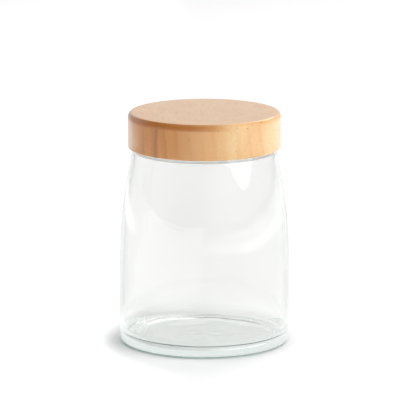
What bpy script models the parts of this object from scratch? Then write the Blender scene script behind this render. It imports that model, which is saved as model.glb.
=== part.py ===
"""Lidded glass canister: a round glass jar closed by a screw-on beech lid.

Units are metres and +Z is up.  The origin is the middle of the foot that the jar stands on,
so every piece is turned about the Z axis.  The lid is a solid beech cap with a threaded
plastic insert glued into it, and a flat silicone gasket lies between the insert and the rim
of the jar.
"""

import math
from collections import namedtuple

import bmesh
import bpy
from mathutils import Vector

# ------------------------------------------------------------------ driving dimensions
SEGMENTS = 72                   # facets round every turned piece
SHARP_ANGLE = math.radians(35)  # edges that turn by more than this stay crisp

# Glass jar, outside
BODY_RADIUS = 0.0550            # straight lower part of the body
TAPER_START = 0.0500            # height at which the body begins to lean inward
TAPER_ARC_RADIUS = 0.3330       # one large arc carries the body in to the shoulder
SHOULDER_HEIGHT = 0.1279        # flat top of the shoulder, just inside the lid
SHOULDER_FILLET = 0.0018
NECK_RADIUS = 0.0430
NECK_FILLET = 0.0009
RIM_HEIGHT = 0.1403
RIM_FILLET = 0.0009
HEEL_FILLET = 0.0028            # rounding between the body and the foot
FOOT_INNER_RADIUS = 0.0455      # the jar stands on the flat ring outside this radius
PUSH_UP_HEIGHT = 0.0016         # middle of the underside, lifted clear of the table
PUSH_UP_SHOULDER_RADIUS = 0.0420
PUSH_UP_SHOULDER_HEIGHT = 0.0010

# Glass jar, inside
WALL = 0.0020
MOUTH_RADIUS = 0.0405
SHOULDER_UNDERSIDE = 0.1256
SHOULDER_INNER_FILLET = 0.0024
MOUTH_INNER_FILLET = 0.0014
FLOOR_EDGE_HEIGHT = 0.0036
FLOOR_MIDDLE_HEIGHT = 0.0044
FLOOR_FILLET = 0.0085

# Screw thread shared by the neck and the insert
THREAD_LEAD = 0.00508           # rise of the lid in one turn
THREAD_TURNS = 1.25
THREAD_FADE_TURNS = 0.08        # length over which each end of the ridge fades out
THREAD_START = 0.1309           # height of the lower end of the ridge on the neck
RIDGE_ROOT_HALF = 0.0013
RIDGE_CREST_HALF = 0.0005
NECK_CREST_RADIUS = 0.04415
THREAD_BASE_HEIGHT = 0.1290     # plain neck below and above the ridge
THREAD_TOP_HEIGHT = 0.1391

# Threaded insert
INSERT_RADIUS = 0.0458
INSERT_TOP = 0.1440
INSERT_BOTTOM = 0.1293
INSERT_EDGE = 0.0003
INSERT_TOP_EDGE = 0.0006
PLATE_UNDERSIDE = 0.1425
INSERT_INNER_RADIUS = 0.0446
INSERT_CREST_RADIUS = 0.04345
INSERT_THREAD_TURNS = 1.125
INSERT_THREAD_DROP = 0.0018     # its ridge runs this far below the ridge on the neck
INSERT_THREAD_START = 0.1307
INSERT_THREAD_TOP = 0.1391
GUIDE_OUTER_RADIUS = 0.0394     # low ring that keeps the gasket central
GUIDE_INNER_RADIUS = 0.0382
GUIDE_BOTTOM = 0.1415
GUIDE_EDGE = 0.0003

# Silicone gasket
GASKET_OUTER_RADIUS = 0.0442
GASKET_INNER_RADIUS = 0.0398
GASKET_BOTTOM = 0.1406
GASKET_TOP = 0.1422
GASKET_EDGE = 0.0003

# Beech cap
CAP_RADIUS = 0.0494
CAP_TOP = 0.1500
CAP_BOTTOM = 0.1270
CAP_ROUND_WIDTH = 0.0022        # the top edge is an elliptical round-over
CAP_ROUND_DROP = 0.0040
CAP_BOTTOM_FILLET = 0.0010
RECESS_RADIUS = 0.0461
RECESS_TOP = 0.1443
RELIEF_RADIUS = 0.0469           # wider mouth of the recess, clear of the jar's shoulder
RELIEF_TOP = 0.1291
RELIEF_CHAMFER = 0.0003

Thread = namedtuple("Thread", "wall crest start turns")


# ------------------------------------------------------------------ turning
class Turning:
    """One closed body turned about the Z axis, carried on from ring to ring."""

    def __init__(self, first_angle=0.0):
        self.mesh = bmesh.new()
        step = 2.0 * math.pi / SEGMENTS
        self.angles = [first_angle + step * index for index in range(SEGMENTS)]
        self.first_ring = None
        self.ring = None

    def vertex(self, column, radius, height):
        angle = self.angles[column]
        return self.mesh.verts.new((radius * math.cos(angle), radius * math.sin(angle), height))

    def new_ring(self, radius, height):
        """Return a ring of vertices, or the single vertex that a point on the axis needs."""
        if radius == 0.0:
            return [self.mesh.verts.new((0.0, 0.0, height))]
        return [self.vertex(column, radius, height) for column in range(SEGMENTS)]

    def bridge(self, lower, upper):
        """Skin the band between two rings; either of them may be a single axis vertex."""
        for column in range(SEGMENTS):
            following = (column + 1) % SEGMENTS
            if len(lower) == 1:
                corners = (lower[0], upper[following], upper[column])
            elif len(upper) == 1:
                corners = (lower[column], lower[following], upper[0])
            else:
                corners = (lower[column], lower[following], upper[following], upper[column])
            self.mesh.faces.new(corners)

    def follow(self, path):
        """Carry the surface along a path of (radius, height) points."""
        for radius, height in path:
            ring = self.new_ring(radius, height)
            if self.ring is None:
                self.first_ring = ring
            else:
                self.bridge(self.ring, ring)
            self.ring = ring

    def close(self):
        """Join the last ring to the first, for a body that does not reach the axis."""
        self.bridge(self.ring, self.first_ring)

    def skin_cell(self, left, right):
        """Skin the patch between two upright chains of vertices, one of them a single edge."""
        if len(left) == 2 and len(right) == 2:
            self.mesh.faces.new((left[0], right[0], right[1], left[1]))
        elif len(left) == 2:
            for below, above in zip(right, right[1:]):
                self.mesh.faces.new((left[0], below, above))
            self.mesh.faces.new((left[0], right[-1], left[1]))
        else:
            for below, above in zip(left, left[1:]):
                self.mesh.faces.new((right[0], above, below))
            self.mesh.faces.new((right[0], right[1], left[-1]))

    def climb_thread(self, thread, top_height):
        """Carry a plain wall up to top_height with a helical ridge standing on it.

        The ridge has four edges.  Its turns lie one above another, so the edges that reach the
        last column meet the edges of the next turn up at the first column.
        """
        last_step = round(thread.turns * SEGMENTS)
        offsets = (-RIDGE_ROOT_HALF, -RIDGE_CREST_HALF, RIDGE_CREST_HALF, RIDGE_ROOT_HALF)
        columns = []
        for column in range(SEGMENTS):
            chain = []
            for step in range(column, last_step + 1, SEGMENTS):
                along = step / SEGMENTS
                crest = thread.wall + (thread.crest - thread.wall) * ridge_strength(along, thread)
                radii = (thread.wall, crest, crest, thread.wall)
                for radius, offset in zip(radii, offsets):
                    height = thread.start + THREAD_LEAD * along + offset
                    chain.append(self.vertex(column, radius, height))
            columns.append(chain)
        lower = self.ring
        upper = self.new_ring(thread.wall, top_height)
        for column in range(SEGMENTS):
            following = (column + 1) % SEGMENTS
            left = columns[column]
            right = columns[following]
            shift = len(offsets) if following == 0 else 0
            shared = min(len(left), len(right) - shift)
            self.skin_cell([lower[column], left[0]], [lower[following], *right[:shift + 1]])
            for edge in range(shared - 1):
                self.skin_cell(left[edge:edge + 2], right[edge + shift:edge + shift + 2])
            self.skin_cell([*left[shared - 1:], upper[column]],
                           [*right[shared - 1 + shift:], upper[following]])
        self.ring = upper

    def finish(self, name, material):
        """Turn the mesh into a named object whose faces all look outward."""
        bmesh.ops.recalc_face_normals(self.mesh, faces=self.mesh.faces)
        data = bpy.data.meshes.new(name)
        self.mesh.to_mesh(data)
        self.mesh.free()
        data.materials.append(material)
        data.shade_smooth()
        data.set_sharp_from_angle(angle=SHARP_ANGLE)
        piece = bpy.data.objects.new(name, data)
        bpy.context.scene.collection.objects.link(piece)
        return piece


def ridge_strength(along, thread):
    """Return how far the ridge has risen, from 0 at either end to 1 between them."""
    from_end = min(along, thread.turns - along)
    return min(max(from_end / THREAD_FADE_TURNS, 0.0), 1.0)


# ------------------------------------------------------------------ profiles
def rounded_path(corners):
    """Return the points of a path whose inner corners are rounded.

    Each corner is (radius, height) or (radius, height, fillet radius, fillet steps).
    """
    path = []
    for index, corner in enumerate(corners):
        here = Vector(corner[:2])
        if len(corner) == 2:
            path.append(tuple(here))
            continue
        fillet, steps = corner[2:]
        back = (Vector(corners[index - 1][:2]) - here).normalized()
        onward = (Vector(corners[index + 1][:2]) - here).normalized()
        half_angle = back.angle(onward) / 2.0
        centre = here + (back + onward).normalized() * (fillet / math.sin(half_angle))
        start = here + back * (fillet / math.tan(half_angle)) - centre
        end = here + onward * (fillet / math.tan(half_angle)) - centre
        sweep = start.angle(end)
        for step in range(steps + 1):
            share = step / steps
            arm = (start * math.sin((1.0 - share) * sweep) + end * math.sin(share * sweep))
            path.append(tuple(centre + arm / math.sin(sweep)))
    return path


def body_radius(height):
    """Return the outer radius of the jar's body at a height above the foot."""
    rise = max(height - TAPER_START, 0.0)
    return BODY_RADIUS - TAPER_ARC_RADIUS + math.sqrt(TAPER_ARC_RADIUS ** 2 - rise ** 2)


def body_side(start, end, steps, inset):
    """Return points up or down the body between two heights, inset from its outer surface."""
    heights = [start + (end - start) * step / steps for step in range(steps + 1)]
    return [(body_radius(height) - inset, height) for height in heights]


# ------------------------------------------------------------------ pieces
def build_glass_jar(material):
    """The jar: foot ring, leaning body, shoulder, threaded neck and even wall inside."""
    jar = Turning()
    jar.follow(rounded_path([
        (0.0, PUSH_UP_HEIGHT),
        (PUSH_UP_SHOULDER_RADIUS * 0.5, PUSH_UP_HEIGHT),
        (PUSH_UP_SHOULDER_RADIUS, PUSH_UP_SHOULDER_HEIGHT),
        (FOOT_INNER_RADIUS, 0.0),
        (BODY_RADIUS, 0.0, HEEL_FILLET, 4),
        *body_side(TAPER_START, SHOULDER_HEIGHT - SHOULDER_FILLET * 1.6, 8, 0.0),
        (body_radius(SHOULDER_HEIGHT), SHOULDER_HEIGHT, SHOULDER_FILLET, 4),
        (NECK_RADIUS, SHOULDER_HEIGHT, NECK_FILLET, 2),
        (NECK_RADIUS, THREAD_BASE_HEIGHT),
    ]))
    jar.climb_thread(Thread(NECK_RADIUS, NECK_CREST_RADIUS, THREAD_START, THREAD_TURNS),
                     THREAD_TOP_HEIGHT)
    inner_side = body_side(SHOULDER_UNDERSIDE - SHOULDER_INNER_FILLET * 1.6, TAPER_START, 7, WALL)
    wall_top = body_radius(SHOULDER_UNDERSIDE) - WALL
    inside = rounded_path([
        (NECK_RADIUS, THREAD_TOP_HEIGHT),
        (NECK_RADIUS, RIM_HEIGHT, RIM_FILLET, 3),
        (MOUTH_RADIUS, RIM_HEIGHT, RIM_FILLET, 3),
        (MOUTH_RADIUS, SHOULDER_UNDERSIDE, MOUTH_INNER_FILLET, 3),
        (wall_top, SHOULDER_UNDERSIDE, SHOULDER_INNER_FILLET, 4),
        *inner_side,
        (BODY_RADIUS - WALL, FLOOR_EDGE_HEIGHT, FLOOR_FILLET, 5),
        (FOOT_INNER_RADIUS * 0.6, FLOOR_MIDDLE_HEIGHT),
        (0.0, FLOOR_MIDDLE_HEIGHT),
    ])
    jar.follow(inside[1:])
    return jar.finish("glass_jar", material)


def build_threaded_insert(material):
    """The plastic cup glued into the cap, threaded inside, with a ring to centre the gasket."""
    climb = (INSERT_THREAD_START + INSERT_THREAD_DROP - THREAD_START) / THREAD_LEAD
    insert = Turning(first_angle=2.0 * math.pi * climb)
    insert.follow([
        (0.0, INSERT_TOP),
        (INSERT_RADIUS - INSERT_TOP_EDGE, INSERT_TOP),
        (INSERT_RADIUS, INSERT_TOP - INSERT_TOP_EDGE),
        (INSERT_RADIUS, INSERT_BOTTOM + INSERT_EDGE),
        (INSERT_RADIUS - INSERT_EDGE, INSERT_BOTTOM),
        (INSERT_INNER_RADIUS + INSERT_EDGE, INSERT_BOTTOM),
        (INSERT_INNER_RADIUS, INSERT_BOTTOM + INSERT_EDGE * 0.3),
    ])
    thread = Thread(INSERT_INNER_RADIUS, INSERT_CREST_RADIUS, INSERT_THREAD_START,
                    INSERT_THREAD_TURNS)
    insert.climb_thread(thread, INSERT_THREAD_TOP)
    insert.follow([
        (INSERT_INNER_RADIUS, PLATE_UNDERSIDE),
        (GUIDE_OUTER_RADIUS, PLATE_UNDERSIDE),
        (GUIDE_OUTER_RADIUS, GUIDE_BOTTOM + GUIDE_EDGE),
        (GUIDE_OUTER_RADIUS - GUIDE_EDGE, GUIDE_BOTTOM),
        (GUIDE_INNER_RADIUS + GUIDE_EDGE, GUIDE_BOTTOM),
        (GUIDE_INNER_RADIUS, GUIDE_BOTTOM + GUIDE_EDGE),
        (GUIDE_INNER_RADIUS, PLATE_UNDERSIDE),
        (0.0, PLATE_UNDERSIDE),
    ])
    return insert.finish("threaded_insert", material)


def build_sealing_gasket(material):
    """The flat silicone ring between the rim of the jar and the plate of the insert."""
    gasket = Turning()
    gasket.follow([
        (GASKET_INNER_RADIUS + GASKET_EDGE, GASKET_TOP),
        (GASKET_OUTER_RADIUS - GASKET_EDGE, GASKET_TOP),
        (GASKET_OUTER_RADIUS, GASKET_TOP - GASKET_EDGE),
        (GASKET_OUTER_RADIUS, GASKET_BOTTOM + GASKET_EDGE),
        (GASKET_OUTER_RADIUS - GASKET_EDGE, GASKET_BOTTOM),
        (GASKET_INNER_RADIUS + GASKET_EDGE, GASKET_BOTTOM),
        (GASKET_INNER_RADIUS, GASKET_BOTTOM + GASKET_EDGE),
        (GASKET_INNER_RADIUS, GASKET_TOP - GASKET_EDGE),
    ])
    gasket.close()
    return gasket.finish("sealing_gasket", material)


def build_beech_cap(material):
    """The turned wooden cap: rounded top edge, plain side and a deep recess underneath."""
    steps = 6
    round_over = []
    for step in range(steps + 1):
        turn = 0.5 * math.pi * step / steps
        round_over.append((CAP_RADIUS - CAP_ROUND_WIDTH * (1.0 - math.sin(turn)),
                           CAP_TOP - CAP_ROUND_DROP * (1.0 - math.cos(turn))))
    cap = Turning()
    cap.follow(rounded_path([
        (0.0, CAP_TOP),
        *round_over,
        (CAP_RADIUS, CAP_BOTTOM, CAP_BOTTOM_FILLET, 3),
        (RELIEF_RADIUS + RELIEF_CHAMFER, CAP_BOTTOM),
        (RELIEF_RADIUS, CAP_BOTTOM + RELIEF_CHAMFER),
        (RELIEF_RADIUS, RELIEF_TOP),
        (RECESS_RADIUS, RELIEF_TOP),
        (RECESS_RADIUS, RECESS_TOP),
        (0.0, RECESS_TOP),
    ]))
    return cap.finish("beech_cap", material)


# ------------------------------------------------------------------ materials
def plain_material(name, colour, roughness, alpha=1.0):
    """Return a Principled material with one colour."""
    material = bpy.data.materials.new(name)
    material.use_nodes = True
    shader = material.node_tree.nodes["Principled BSDF"]
    shader.inputs["Base Color"].default_value = (*colour, 1.0)
    shader.inputs["Roughness"].default_value = roughness
    shader.inputs["Metallic"].default_value = 0.0
    shader.inputs["Alpha"].default_value = alpha
    material.diffuse_color = (*colour, alpha)
    return material


def main():
    for item in list(bpy.data.objects):
        bpy.data.objects.remove(item, do_unlink=True)
    build_glass_jar(plain_material("clear_glass", (0.84, 0.92, 0.90), 0.03, alpha=0.35))
    build_sealing_gasket(plain_material("clear_silicone", (0.86, 0.87, 0.86), 0.45))
    build_threaded_insert(plain_material("white_polypropylene", (0.88, 0.88, 0.86), 0.40))
    build_beech_cap(plain_material("oiled_beech", (0.66, 0.42, 0.24), 0.50))


main()
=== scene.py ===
"""Looks for the lidded glass canister, laid out as an add-on with one operator a piece."""

import math

import bmesh
import bpy
from bpy.props import FloatProperty, FloatVectorProperty, IntProperty, PointerProperty
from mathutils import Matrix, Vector


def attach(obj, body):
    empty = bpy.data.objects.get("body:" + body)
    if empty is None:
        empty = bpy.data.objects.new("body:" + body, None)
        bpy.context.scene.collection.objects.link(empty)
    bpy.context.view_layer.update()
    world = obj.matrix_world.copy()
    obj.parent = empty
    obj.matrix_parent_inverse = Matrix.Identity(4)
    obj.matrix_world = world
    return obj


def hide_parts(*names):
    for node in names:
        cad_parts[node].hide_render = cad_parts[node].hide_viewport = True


bl_info = {
    "name": "Lidded glass canister",
    "version": (1, 0, 0),
    "blender": (4, 5, 0),
    "location": "View3D > Sidebar > Canister",
    "description": "Builds a screw-lidded glass storage jar and the studio it stands in",
    "category": "Object",
}

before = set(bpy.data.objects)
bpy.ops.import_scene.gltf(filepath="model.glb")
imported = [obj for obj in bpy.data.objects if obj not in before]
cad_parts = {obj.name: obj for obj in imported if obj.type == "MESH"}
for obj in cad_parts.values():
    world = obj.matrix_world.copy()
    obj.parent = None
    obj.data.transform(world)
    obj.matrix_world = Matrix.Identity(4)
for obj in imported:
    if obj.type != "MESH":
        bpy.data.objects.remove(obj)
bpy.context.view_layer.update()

# Sizes shared by the neck and the insert, in metres
THREAD_LEAD = 0.00508
RIDGE_ROOT_HALF = 0.0013
RIDGE_CREST_HALF = 0.0005
THREAD_FADE_TURNS = 0.08
SHARP_ANGLE = math.radians(35)

# Spacing of nodes in the node editor
COLUMN_WIDTH = 220
ROW_HEIGHT = 200

# Colours that the finishes mix, painted shade and light among them, as linear red, green and blue
GLASS_WALL_LOW_PAINTED_SHADE = (0.918, 0.921, 0.912)
GLASS_WALL_HIGH = (0.935, 0.937, 0.928)
GLASS_EDGE_PAINTED_SHADE = (0.34, 0.40, 0.39)
GLASS_PAINTED_FOOT_SHADOW = (0.05, 0.12, 0.10)
GLASS_SHADE_FACING = (0.95, 0.965, 0.96)
GLASS_SHADE_EDGE = (0.60, 0.64, 0.63)
GLASS_SHADE_HEEL = (0.50, 0.55, 0.54)
GLASS_PAINTED_GLOW = (0.885, 0.91, 0.905, 1.0)
BEECH_PAINTED_SHEEN = (0.83, 0.585, 0.30)
BEECH_TOP = (0.80, 0.455, 0.165)
BEECH_CLOUD = (0.70, 0.29, 0.065)
BEECH_HEART = (0.30, 0.10, 0.025)
BEECH_FIBRE = (0.60, 0.22, 0.04)
BEECH_PAINTED_EDGE_SHADE = (0.50, 0.17, 0.035)
PLASTIC_SMUDGE = (0.78, 0.78, 0.75)
SILICONE_SMUDGE = (0.74, 0.76, 0.76)
PAPER_MOTTLE = (0.88, 0.88, 0.88)
PAPER_PAINTED_CONTACT_SHADE = (0.84, 0.84, 0.84)

# Places where the finishes and their painted shade and light change, in metres
AXIS_ONLY = (1.0, 1.0, 0.0)       # leaves out the height, so a length is a distance from the axis
FOOT_SHADOW_RADIUS = (0.0527, 0.0532)
FOOT_SHADOW_HEIGHT = (0.0007, 0.0014)
FLOOR_TO_WALL = (0.008, 0.018)
WALL_LOW_TO_HIGH = (0.062, 0.098)
HEEL_HEIGHT = (0.0005, 0.0060)
HEART_OFFSET = 0.0288
LIGHT_POOL_INNER = (0.53, 0.62)
LIGHT_POOL_OUTER = (0.68, 1.0)
UNDER_JAR_GLOW_RADIUS = (0.0512, 0.0530)

# A ray that has been bent this often inside thick glass is given a painted glow of the glass's
# deep colour
TRAPPED_DEPTH = 5.5


# ------------------------------------------------------------------ settings
class GlassJarSettings(bpy.types.PropertyGroup):
    """Sizes and colours of the jar."""

    columns: IntProperty(
        name="Columns", description="Facets round the jar", default=240, min=24, max=480)
    body_radius: FloatProperty(
        name="Body radius", description="Outer radius of the straight lower body",
        default=0.055, unit="LENGTH")
    taper_start: FloatProperty(
        name="Taper start", description="Height at which the body begins to lean inward",
        default=0.050, unit="LENGTH")
    taper_arc: FloatProperty(
        name="Taper arc", description="Radius of the arc that carries the body inward",
        default=0.333, unit="LENGTH")
    wall: FloatProperty(
        name="Wall", description="Thickness of the glass wall", default=0.002, unit="LENGTH")
    waviness: FloatProperty(
        name="Waviness", description="How far the inner wall wanders from true",
        default=0.00008, unit="LENGTH")
    seam_height: FloatProperty(
        name="Seam height", description="How far the mould seams stand out of the body",
        default=0.00005, unit="LENGTH")
    tint: FloatVectorProperty(
        name="Tint", description="Colour of a long path through the glass",
        subtype="COLOR", default=(0.72, 0.93, 0.88), min=0.0, max=1.0)


class BeechCapSettings(bpy.types.PropertyGroup):
    """Sizes and colours of the wooden cap."""

    columns: IntProperty(
        name="Columns", description="Facets round the cap", default=256, min=24, max=480)
    radius: FloatProperty(
        name="Radius", description="Outer radius of the cap", default=0.0494, unit="LENGTH")
    top: FloatProperty(
        name="Top", description="Height of the top of the cap", default=0.150, unit="LENGTH")
    bottom: FloatProperty(
        name="Bottom", description="Height of its lower edge", default=0.127, unit="LENGTH")
    pale: FloatVectorProperty(
        name="Pale wood", description="Colour of the early wood",
        subtype="COLOR", default=(0.60, 0.25, 0.060), min=0.0, max=1.0)
    warm: FloatVectorProperty(
        name="Warm wood", description="Colour of the late wood",
        subtype="COLOR", default=(0.46, 0.17, 0.032), min=0.0, max=1.0)
    fleck: FloatVectorProperty(
        name="Fleck", description="Colour of the ray flecks",
        subtype="COLOR", default=(0.34, 0.13, 0.035), min=0.0, max=1.0)


class InsertSettings(bpy.types.PropertyGroup):
    """Sizes and colours of the threaded insert."""

    columns: IntProperty(
        name="Columns", description="Facets round the insert", default=192, min=24, max=480)
    rib_count: IntProperty(
        name="Grip ribs", description="Ribs that key the insert into the glue",
        default=72, min=0, max=180)
    colour: FloatVectorProperty(
        name="Colour", description="Colour of the moulded plastic",
        subtype="COLOR", default=(0.86, 0.86, 0.84), min=0.0, max=1.0)


class GasketSettings(bpy.types.PropertyGroup):
    """Sizes and colours of the sealing gasket."""

    columns: IntProperty(
        name="Columns", description="Facets round the gasket", default=192, min=24, max=480)
    inner_radius: FloatProperty(
        name="Inner radius", description="Inner radius of the ring",
        default=0.0398, unit="LENGTH")
    outer_radius: FloatProperty(
        name="Outer radius", description="Outer radius of the ring",
        default=0.0442, unit="LENGTH")
    colour: FloatVectorProperty(
        name="Colour", description="Colour of the silicone",
        subtype="COLOR", default=(0.84, 0.85, 0.84), min=0.0, max=1.0)


class StudioSettings(bpy.types.PropertyGroup):
    """Floor, lights and camera."""

    key_power: FloatProperty(
        name="Key light", description="Power of the round key light in watts", default=19.5)
    back_power: FloatProperty(
        name="Back light", description="Power of the light behind the jar in watts", default=16.0)
    floor_glow: FloatProperty(
        name="Floor glow", description="Light that the floor panel gives out from below",
        default=0.12)
    floor_colour: FloatVectorProperty(
        name="Floor", description="Colour of the floor",
        subtype="COLOR", default=(0.93, 0.93, 0.93), min=0.0, max=1.0)
    camera_distance: FloatProperty(
        name="Camera distance", description="Distance along the floor to the camera",
        default=2.0, unit="LENGTH")
    camera_height: FloatProperty(
        name="Camera height", description="Height of the camera above the floor",
        default=0.5144, unit="LENGTH")


# ------------------------------------------------------------------ mesh helpers
class Turning:
    """One closed body turned about the Z axis, carried on from ring to ring."""

    def __init__(self, angles, drift=None):
        self.mesh = bmesh.new()
        self.angles = angles
        self.drift = drift
        self.ring = None

    def vertex(self, column, radius, height):
        angle = self.angles[column]
        if self.drift is not None:
            radius, height = self.drift(angle, radius, height)
        return self.mesh.verts.new((radius * math.cos(angle), radius * math.sin(angle), height))

    def new_ring(self, radius, height):
        """Return a ring of vertices, or the single vertex that a point on the axis needs."""
        if radius == 0.0:
            return [self.mesh.verts.new((0.0, 0.0, height))]
        return [self.vertex(column, radius, height) for column in range(len(self.angles))]

    def bridge(self, lower, upper):
        """Skin the band between two rings; either of them may be a single axis vertex."""
        count = len(self.angles)
        for column in range(count):
            following = (column + 1) % count
            if len(lower) == 1:
                corners = (lower[0], upper[following], upper[column])
            elif len(upper) == 1:
                corners = (lower[column], lower[following], upper[0])
            else:
                corners = (lower[column], lower[following], upper[following], upper[column])
            self.mesh.faces.new(corners)

    def follow(self, path):
        """Carry the surface along a path of (radius, height) points."""
        for radius, height in path:
            ring = self.new_ring(radius, height)
            if self.ring is not None:
                self.bridge(self.ring, ring)
            self.ring = ring

    def skin_cell(self, left, right):
        """Skin the patch between two upright chains of vertices, one of them a single edge."""
        if len(left) == 2 and len(right) == 2:
            self.mesh.faces.new((left[0], right[0], right[1], left[1]))
        elif len(left) == 2:
            for below, above in zip(right, right[1:]):
                self.mesh.faces.new((left[0], below, above))
            self.mesh.faces.new((left[0], right[-1], left[1]))
        else:
            for below, above in zip(left, left[1:]):
                self.mesh.faces.new((right[0], above, below))
            self.mesh.faces.new((right[0], right[1], left[-1]))

    def climb_thread(self, wall, crest, start, turns, section, top_height):
        """Carry a plain wall up to top_height with a helical ridge standing on it.

        section lists the ridge's edges from its lower root to its upper root, each as
        (height offset, share of the ridge's full depth).
        """
        count = len(self.angles)
        chains = []
        for column in range(count):
            chain = []
            along = (self.angles[column] - self.angles[0]) / (2.0 * math.pi)
            while along <= turns + 1e-9:
                strength = ridge_strength(along, turns)
                for offset, share in section:
                    radius = wall + (crest - wall) * strength * share
                    chain.append(self.vertex(column, radius, start + THREAD_LEAD * along + offset))
                along += 1.0
            chains.append(chain)
        lower = self.ring
        upper = self.new_ring(wall, top_height)
        for column in range(count):
            following = (column + 1) % count
            left, right = chains[column], chains[following]
            shift = len(section) if following == 0 else 0
            shared = min(len(left), len(right) - shift)
            self.skin_cell([lower[column], left[0]], [lower[following], *right[:shift + 1]])
            for edge in range(shared - 1):
                self.skin_cell(left[edge:edge + 2], right[edge + shift:edge + shift + 2])
            self.skin_cell([*left[shared - 1:], upper[column]],
                           [*right[shared - 1 + shift:], upper[following]])
        self.ring = upper

    def mesh_data(self, name):
        """Return the finished mesh, with its faces looking outward."""
        bmesh.ops.recalc_face_normals(self.mesh, faces=self.mesh.faces)
        data = bpy.data.meshes.new(name)
        self.mesh.to_mesh(data)
        self.mesh.free()
        return data


def ridge_strength(along, turns):
    """Return how far a ridge has risen, smoothly from 0 at either end to 1 between them."""
    share = min(max(min(along, turns - along) / THREAD_FADE_TURNS, 0.0), 1.0)
    return share * share * (3.0 - 2.0 * share)


def ridge_section(root_half, crest_half):
    """Return the rounded section of a thread ridge, from its lower root to its upper root."""
    flank = root_half - crest_half
    lower = [(-root_half, 0.0), (-root_half + 0.30 * flank, 0.16),
             (-crest_half - 0.30 * flank, 0.72), (-crest_half, 0.94), (-crest_half * 0.4, 1.0)]
    return lower + [(-offset, share) for offset, share in reversed(lower)]


RIDGE_SECTION = ridge_section(RIDGE_ROOT_HALF, RIDGE_CREST_HALF)


def even_angles(count, first=0.0):
    """Return count angles spaced evenly round a turn."""
    return [first + 2.0 * math.pi * index / count for index in range(count)]


def rounded_path(corners):
    """Return the points of a path whose inner corners are rounded.

    Each corner is (radius, height) or (radius, height, fillet radius, fillet steps).
    """
    path = []
    for index, corner in enumerate(corners):
        here = Vector(corner[:2])
        if len(corner) == 2:
            path.append(tuple(here))
            continue
        fillet, steps = corner[2:]
        back = (Vector(corners[index - 1][:2]) - here).normalized()
        onward = (Vector(corners[index + 1][:2]) - here).normalized()
        half_angle = back.angle(onward) / 2.0
        centre = here + (back + onward).normalized() * (fillet / math.sin(half_angle))
        start = here + back * (fillet / math.tan(half_angle)) - centre
        end = here + onward * (fillet / math.tan(half_angle)) - centre
        sweep = start.angle(end)
        for step in range(steps + 1):
            share = step / steps
            arm = (start * math.sin((1.0 - share) * sweep) + end * math.sin(share * sweep))
            path.append(tuple(centre + arm / math.sin(sweep)))
    return path


def smooth_share(value, low, high):
    """Return 0 below low, 1 above high and a smooth rise between them."""
    share = min(max((value - low) / (high - low), 0.0), 1.0)
    return share * share * (3.0 - 2.0 * share)


def put_in_scene(name, data, material, body, node):
    """Make an object of a finished mesh, dress it and tie it to the frame."""
    lay_out(material.node_tree)
    data.materials.clear()
    data.materials.append(material)
    data.shade_smooth()
    data.set_sharp_from_angle(angle=SHARP_ANGLE)
    piece = bpy.data.objects.new(name, data)
    bpy.context.scene.collection.objects.link(piece)
    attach(piece, body)
    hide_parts(node)
    return piece


# ------------------------------------------------------------------ geometry node helpers
def new_geometry_tree(name, inputs):
    """Return a geometry node tree with a geometry input and output and the named inputs."""
    tree = bpy.data.node_groups.new(name, "GeometryNodeTree")
    tree.interface.new_socket("Geometry", in_out="INPUT", socket_type="NodeSocketGeometry")
    for label, socket_type, default in inputs:
        socket = tree.interface.new_socket(label, in_out="INPUT", socket_type=socket_type)
        if default is not None:
            socket.default_value = default
    tree.interface.new_socket("Geometry", in_out="OUTPUT", socket_type="NodeSocketGeometry")
    return tree


def add_node(tree, kind, **values):
    """Add a node; keyword values are node settings."""
    node = tree.nodes.new(kind)
    for key, value in values.items():
        setattr(node, key, value)
    return node


def set_inputs(node, **values):
    """Give a node's sockets constant values; underscores in a name stand for spaces."""
    for key, value in values.items():
        node.inputs[key.replace("_", " ")].default_value = value


def wire_up(tree, wires):
    """Link nodes; each wire is (node, output, node, input)."""
    for source, output, target, entry in wires:
        tree.links.new(source.outputs[output], target.inputs[entry])


def baked_mesh(source, tree, values, name):
    """Run a geometry node tree on a mesh and return the result as a plain mesh."""
    lay_out(tree)
    carrier = bpy.data.objects.new(name + "_carrier", source)
    bpy.context.scene.collection.objects.link(carrier)
    modifier = carrier.modifiers.new("tree", "NODES")
    modifier.node_group = tree
    sockets = {item.name: item.identifier for item in tree.interface.items_tree
               if item.in_out == "INPUT"}
    for label, value in values.items():
        modifier[sockets[label]] = value
    bpy.context.view_layer.update()
    evaluated = carrier.evaluated_get(bpy.context.evaluated_depsgraph_get())
    result = bpy.data.meshes.new_from_object(evaluated)
    result.name = name
    carrier.modifiers.clear()
    bpy.data.objects.remove(carrier, do_unlink=True)
    if len(result.polygons) == 0:
        raise RuntimeError(f"{name}: the node tree made no faces")
    return result


def sweep_tree():
    """Sweep a closed section round the Z axis: X of the section is the radius, Y the height."""
    tree = new_geometry_tree("turned_section", [
        ("Segments", "NodeSocketInt", 192),
        ("Sweep Radius", "NodeSocketFloat", 0.04),
        ("Material", "NodeSocketMaterial", None),
    ])
    source = add_node(tree, "NodeGroupInput")
    section = add_node(tree, "GeometryNodeMeshToCurve")
    circle = add_node(tree, "GeometryNodeCurvePrimitiveCircle", mode="RADIUS")
    sweep = add_node(tree, "GeometryNodeCurveToMesh")
    merge = add_node(tree, "GeometryNodeMergeByDistance")
    set_inputs(merge, Distance=1e-6)
    realize = add_node(tree, "GeometryNodeRealizeInstances")
    dress = add_node(tree, "GeometryNodeSetMaterial")
    result = add_node(tree, "NodeGroupOutput")
    wire_up(tree, (
        (source, "Geometry", section, "Mesh"),
        (source, "Segments", circle, "Resolution"),
        (source, "Sweep Radius", circle, "Radius"),
        (circle, "Curve", sweep, "Curve"),
        (section, "Curve", sweep, "Profile Curve"),
        (sweep, "Mesh", merge, "Geometry"),
        (merge, "Geometry", realize, "Geometry"),
        (realize, "Geometry", dress, "Geometry"),
        (source, "Material", dress, "Material"),
        (dress, "Geometry", result, "Geometry"),
    ))
    return tree


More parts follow.
